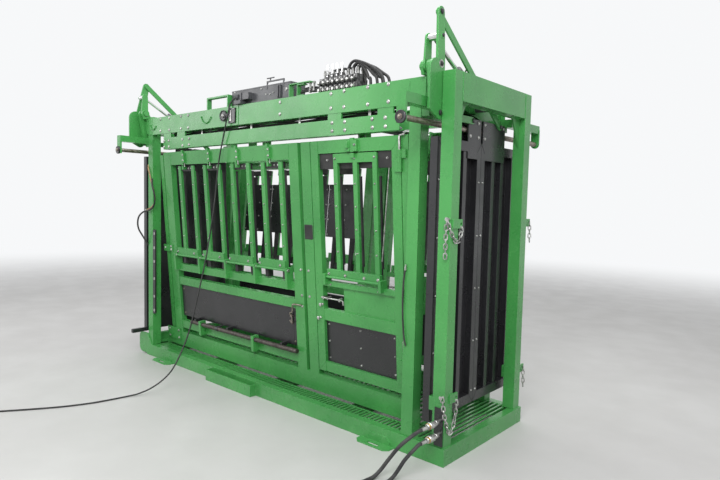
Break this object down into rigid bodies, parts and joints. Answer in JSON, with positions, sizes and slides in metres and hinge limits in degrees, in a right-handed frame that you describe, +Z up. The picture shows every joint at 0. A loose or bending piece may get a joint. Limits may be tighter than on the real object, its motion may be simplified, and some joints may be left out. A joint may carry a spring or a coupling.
{
  "type": "hydraulic cattle crush",
  "caption": "Livestock crush: sliding gates at both ends on lever linkages, leaning squeeze sides with drop bars, swing doors and kick doors, slatted floor, valve levers, power lead and hoses.",
  "frame": {"origin": "centre of the base's footprint, on the floor (cords left out)", "axes": "+X towards the tail end, where the animal walks in; +Z up; the near side, with the controls, faces -Y"},
  "size_m": [3.435, 3.0839, 2.5395],
  "materials": {
    "green_paint": "gloss green enamel on welded steel",
    "black_paint": "satin black paint on steel",
    "dark_grey": "satin dark grey paint on steel",
    "zinc_plate": "zinc plated",
    "chrome_rod": "hard chrome",
    "hose_rubber": "smooth black"
  },
  "bodies": {
    "frame": {"base_frame": "green_paint", "control_tray": "dark_grey", "coupler_pressure": "zinc_plate", "coupler_return": "zinc_plate", "floor_grate": "green_paint", "head_gate_slide_rail": "green_paint", "head_portal": "green_paint", "hose_fitting_pressure": "zinc_plate", "hose_fitting_return": "zinc_plate", "hose_port_plate": "black_paint", "hose_pressure": "hose_rubber", "hose_return": "hose_rubber", "inner_tail_frame": "green_paint", "power_cable": "hose_rubber", "power_cable_coil": "hose_rubber", "power_inlet": "dark_grey", "power_plug": "hose_rubber", "tail_gate_slide_rail": "green_paint", "tail_portal": "green_paint", "top_rails_far": "green_paint", "top_rails_near": "green_paint", "valve_bank": "zinc_plate", "walkway_far": "green_paint", "walkway_near": "green_paint"},
    "squeeze_near": {"squeeze_frame_near": "green_paint"},
    "drop_bars_near_1": {"drop_bars_near_1": "green_paint"},
    "drop_bars_near_2": {"drop_bars_near_2": "green_paint"},
    "drop_bars_near_3": {"drop_bars_near_3": "green_paint"},
    "drop_bars_near_4": {"drop_bars_near_4": "green_paint"},
    "lower_door_near": {"lower_door_near": "black_paint"},
    "rear_door_near": {"rear_door_near": "green_paint"},
    "rear_drop_bars_near": {"rear_drop_bars_near": "green_paint"},
    "squeeze_far": {"squeeze_frame_far": "green_paint"},
    "drop_bars_far_1": {"drop_bars_far_1": "green_paint"},
    "drop_bars_far_2": {"drop_bars_far_2": "green_paint"},
    "drop_bars_far_3": {"drop_bars_far_3": "green_paint"},
    "drop_bars_far_4": {"drop_bars_far_4": "green_paint"},
    "lower_door_far": {"lower_door_far": "black_paint"},
    "rear_door_far": {"rear_door_far": "green_paint"},
    "rear_drop_bars_far": {"rear_drop_bars_far": "green_paint"},
    "squeeze_barrel": {"squeeze_barrel": "dark_grey"},
    "squeeze_rod": {"squeeze_rod": "chrome_rod"},
    "tail_gate_panel_near": {"tail_gate_panel_near": "black_paint"},
    "tail_gate_panel_far": {"tail_gate_panel_far": "black_paint"},
    "tail_gate_lever": {"tail_gate_lever": "green_paint"},
    "tail_gate_strut": {"tail_gate_strut": "green_paint"},
    "tail_gate_link": {"tail_gate_link": "green_paint"},
    "tail_gate_cylinder_barrel": {"tail_gate_cylinder_barrel": "dark_grey"},
    "tail_gate_cylinder_rod": {"tail_gate_cylinder_rod": "chrome_rod"},
    "head_gate_panel_near": {"head_gate_panel_near": "black_paint"},
    "head_gate_panel_far": {"head_gate_panel_far": "black_paint"},
    "head_gate_lever": {"head_gate_lever": "green_paint"},
    "head_gate_strut": {"head_gate_strut": "green_paint"},
    "head_gate_link": {"head_gate_link": "green_paint"},
    "head_gate_cylinder_barrel": {"head_gate_cylinder_barrel": "dark_grey"},
    "head_gate_cylinder_rod": {"head_gate_cylinder_rod": "chrome_rod"},
    "valve_lever_1": {"valve_lever_1": "chrome_rod"},
    "valve_lever_2": {"valve_lever_2": "chrome_rod"},
    "valve_lever_3": {"valve_lever_3": "chrome_rod"},
    "valve_lever_4": {"valve_lever_4": "chrome_rod"}
  },
  "joints": [
    {"name": "squeeze_near_hinge", "type": "hinge", "parent": "frame", "child": "squeeze_near", "pos_m": [0, -0.285, 0.135], "axis": [-1, 0, 0], "range_deg": [0, 4]},
    {"name": "squeeze_far_hinge", "type": "hinge", "parent": "frame", "child": "squeeze_far", "pos_m": [0, 0.285, 0.135], "axis": [1, 0, 0], "range_deg": [0, 4]},
    {"name": "squeeze_barrel_pivot", "type": "hinge", "parent": "squeeze_near", "child": "squeeze_barrel", "pos_m": [0.9, -0.36319, 1.96475], "axis": [-1, 0, 0], "range_deg": [-4.01, 0]},
    {"name": "squeeze_rod_slide", "type": "slide", "parent": "squeeze_barrel", "child": "squeeze_rod", "axis": [0, -1, 0], "range_m": [0, 0.25575]},
    {"name": "drop_bars_near_1_hinge", "type": "hinge", "parent": "squeeze_near", "child": "drop_bars_near_1", "pos_m": [0, -0.39328, 0.96391], "axis": [1, 0, 0], "range_deg": [0, 165]},
    {"name": "drop_bars_near_2_hinge", "type": "hinge", "parent": "squeeze_near", "child": "drop_bars_near_2", "pos_m": [0, -0.39328, 0.96391], "axis": [1, 0, 0], "range_deg": [0, 165]},
    {"name": "drop_bars_near_3_hinge", "type": "hinge", "parent": "squeeze_near", "child": "drop_bars_near_3", "pos_m": [0, -0.39328, 0.96391], "axis": [1, 0, 0], "range_deg": [0, 165]},
    {"name": "drop_bars_near_4_hinge", "type": "hinge", "parent": "squeeze_near", "child": "drop_bars_near_4", "pos_m": [0, -0.39328, 0.96391], "axis": [1, 0, 0], "range_deg": [0, 165]},
    {"name": "lower_door_near_hinge", "type": "hinge", "parent": "squeeze_near", "child": "lower_door_near", "pos_m": [0, -0.35715, 0.37791], "axis": [1, 0, 0], "range_deg": [0, 150]},
    {"name": "rear_door_near_hinge", "type": "hinge", "parent": "squeeze_near", "child": "rear_door_near", "pos_m": [1.265, -0.32287, 0.13189], "axis": [0, -0.0819, 0.9966], "range_deg": [0, 90]},
    {"name": "rear_drop_bars_near_hinge", "type": "hinge", "parent": "rear_door_near", "child": "rear_drop_bars_near", "pos_m": [0, -0.39328, 0.96391], "axis": [1, 0, 0], "range_deg": [0, 170]},
    {"name": "drop_bars_far_1_hinge", "type": "hinge", "parent": "squeeze_far", "child": "drop_bars_far_1", "pos_m": [0, 0.39328, 0.96391], "axis": [-1, 0, 0], "range_deg": [0, 165]},
    {"name": "drop_bars_far_2_hinge", "type": "hinge", "parent": "squeeze_far", "child": "drop_bars_far_2", "pos_m": [0, 0.39328, 0.96391], "axis": [-1, 0, 0], "range_deg": [0, 165]},
    {"name": "drop_bars_far_3_hinge", "type": "hinge", "parent": "squeeze_far", "child": "drop_bars_far_3", "pos_m": [0, 0.39328, 0.96391], "axis": [-1, 0, 0], "range_deg": [0, 165]},
    {"name": "drop_bars_far_4_hinge", "type": "hinge", "parent": "squeeze_far", "child": "drop_bars_far_4", "pos_m": [0, 0.39328, 0.96391], "axis": [-1, 0, 0], "range_deg": [0, 165]},
    {"name": "lower_door_far_hinge", "type": "hinge", "parent": "squeeze_far", "child": "lower_door_far", "pos_m": [0, 0.35715, 0.37791], "axis": [-1, 0, 0], "range_deg": [0, 150]},
    {"name": "rear_door_far_hinge", "type": "hinge", "parent": "squeeze_far", "child": "rear_door_far", "pos_m": [1.265, 0.32287, 0.13189], "axis": [0, -0.0819, -0.9966], "range_deg": [0, 90]},
    {"name": "rear_drop_bars_far_hinge", "type": "hinge", "parent": "rear_door_far", "child": "rear_drop_bars_far", "pos_m": [0, 0.39328, 0.96391], "axis": [-1, 0, 0], "range_deg": [0, 170]},
    {"name": "tail_gate_lever_pivot", "type": "hinge", "parent": "frame", "child": "tail_gate_lever", "pos_m": [1.5403, -0.483, 2.235], "axis": [-1, 0, 0], "range_deg": [0, 65]},
    {"name": "tail_gate_near_slide", "type": "slide", "parent": "frame", "child": "tail_gate_panel_near", "axis": [0, -1, 0], "range_m": [0, 0.26924]},
    {"name": "tail_gate_far_slide", "type": "slide", "parent": "frame", "child": "tail_gate_panel_far", "axis": [0, 1, 0], "range_m": [0, 0.3437]},
    {"name": "tail_gate_strut_pivot", "type": "hinge", "parent": "tail_gate_lever", "child": "tail_gate_strut", "pos_m": [1.528, -0.495, 2.51], "axis": [-1, 0, 0], "range_deg": [-75.83, 0]},
    {"name": "tail_gate_link_pivot", "type": "hinge", "parent": "tail_gate_lever", "child": "tail_gate_link", "pos_m": [1.528, -0.482, 1.972], "axis": [-1, 0, 0], "range_deg": [-41.81, 0]},
    {"name": "tail_gate_barrel_pivot", "type": "hinge", "parent": "frame", "child": "tail_gate_cylinder_barrel", "pos_m": [1.4965, 0.08, 2.075], "axis": [1, 0, 0], "range_deg": [-0.05, 1.8]},
    {"name": "tail_gate_rod_slide", "type": "slide", "parent": "tail_gate_cylinder_barrel", "child": "tail_gate_cylinder_rod", "axis": [0, 0.8722, -0.4892], "range_m": [0, 0.16413]},
    {"name": "head_gate_lever_pivot", "type": "hinge", "parent": "frame", "child": "head_gate_lever", "pos_m": [-1.7583, -0.483, 2.235], "axis": [-1, 0, 0], "range_deg": [0, 65]},
    {"name": "head_gate_near_slide", "type": "slide", "parent": "frame", "child": "head_gate_panel_near", "axis": [0, -1, 0], "range_m": [0, 0.26924]},
    {"name": "head_gate_far_slide", "type": "slide", "parent": "frame", "child": "head_gate_panel_far", "axis": [0, 1, 0], "range_m": [0, 0.32587]},
    {"name": "head_gate_strut_pivot", "type": "hinge", "parent": "head_gate_lever", "child": "head_gate_strut", "pos_m": [-1.746, -0.42, 2.5], "axis": [-1, 0, 0], "range_deg": [-81.52, 0]},
    {"name": "head_gate_link_pivot", "type": "hinge", "parent": "head_gate_lever", "child": "head_gate_link", "pos_m": [-1.746, -0.482, 1.972], "axis": [-1, 0, 0], "range_deg": [-41.81, 0]},
    {"name": "head_gate_barrel_pivot", "type": "hinge", "parent": "frame", "child": "head_gate_cylinder_barrel", "pos_m": [-1.7145, 0.08, 2.075], "axis": [1, 0, 0], "range_deg": [-0.05, 1.8]},
    {"name": "head_gate_rod_slide", "type": "slide", "parent": "head_gate_cylinder_barrel", "child": "head_gate_cylinder_rod", "axis": [0, 0.8722, -0.4892], "range_m": [0, 0.16413]},
    {"name": "valve_lever_1_pivot", "type": "hinge", "parent": "frame", "child": "valve_lever_1", "pos_m": [0.62375, -0.42, 2.2923], "axis": [1, 0, 0], "range_deg": [-18, 18]},
    {"name": "valve_lever_2_pivot", "type": "hinge", "parent": "frame", "child": "valve_lever_2", "pos_m": [0.66625, -0.42, 2.2923], "axis": [1, 0, 0], "range_deg": [-18, 18]},
    {"name": "valve_lever_3_pivot", "type": "hinge", "parent": "frame", "child": "valve_lever_3", "pos_m": [0.70875, -0.42, 2.2923], "axis": [1, 0, 0], "range_deg": [-18, 18]},
    {"name": "valve_lever_4_pivot", "type": "hinge", "parent": "frame", "child": "valve_lever_4", "pos_m": [0.75125, -0.42, 2.2923], "axis": [1, 0, 0], "range_deg": [-18, 18]}
  ],
  "couplings": [
    {"joint": "squeeze_far_hinge", "follows": "squeeze_near_hinge", "ratio": 1},
    {"joint": "squeeze_barrel_pivot", "follows": "squeeze_near_hinge", "ratio": -1},
    {"joint": "squeeze_rod_slide", "follows": "squeeze_near_hinge", "m_per_rad": 3.662},
    {"joint": "tail_gate_near_slide", "follows": "tail_gate_lever_pivot", "m_per_rad": 0.23688},
    {"joint": "tail_gate_far_slide", "follows": "tail_gate_lever_pivot", "m_per_rad": 0.30252},
    {"joint": "tail_gate_strut_pivot", "follows": "tail_gate_lever_pivot", "ratio": -1.1659},
    {"joint": "tail_gate_link_pivot", "follows": "tail_gate_lever_pivot", "ratio": -0.64253},
    {"joint": "tail_gate_barrel_pivot", "follows": "tail_gate_lever_pivot", "ratio": 0.026981},
    {"joint": "tail_gate_rod_slide", "follows": "tail_gate_lever_pivot", "m_per_rad": 0.14424},
    {"joint": "head_gate_near_slide", "follows": "head_gate_lever_pivot", "m_per_rad": 0.23688},
    {"joint": "head_gate_far_slide", "follows": "head_gate_lever_pivot", "m_per_rad": 0.2868},
    {"joint": "head_gate_strut_pivot", "follows": "head_gate_lever_pivot", "ratio": -1.2534},
    {"joint": "head_gate_link_pivot", "follows": "head_gate_lever_pivot", "ratio": -0.64253},
    {"joint": "head_gate_barrel_pivot", "follows": "head_gate_lever_pivot", "ratio": 0.026981},
    {"joint": "head_gate_rod_slide", "follows": "head_gate_lever_pivot", "m_per_rad": 0.14424}
  ]
}
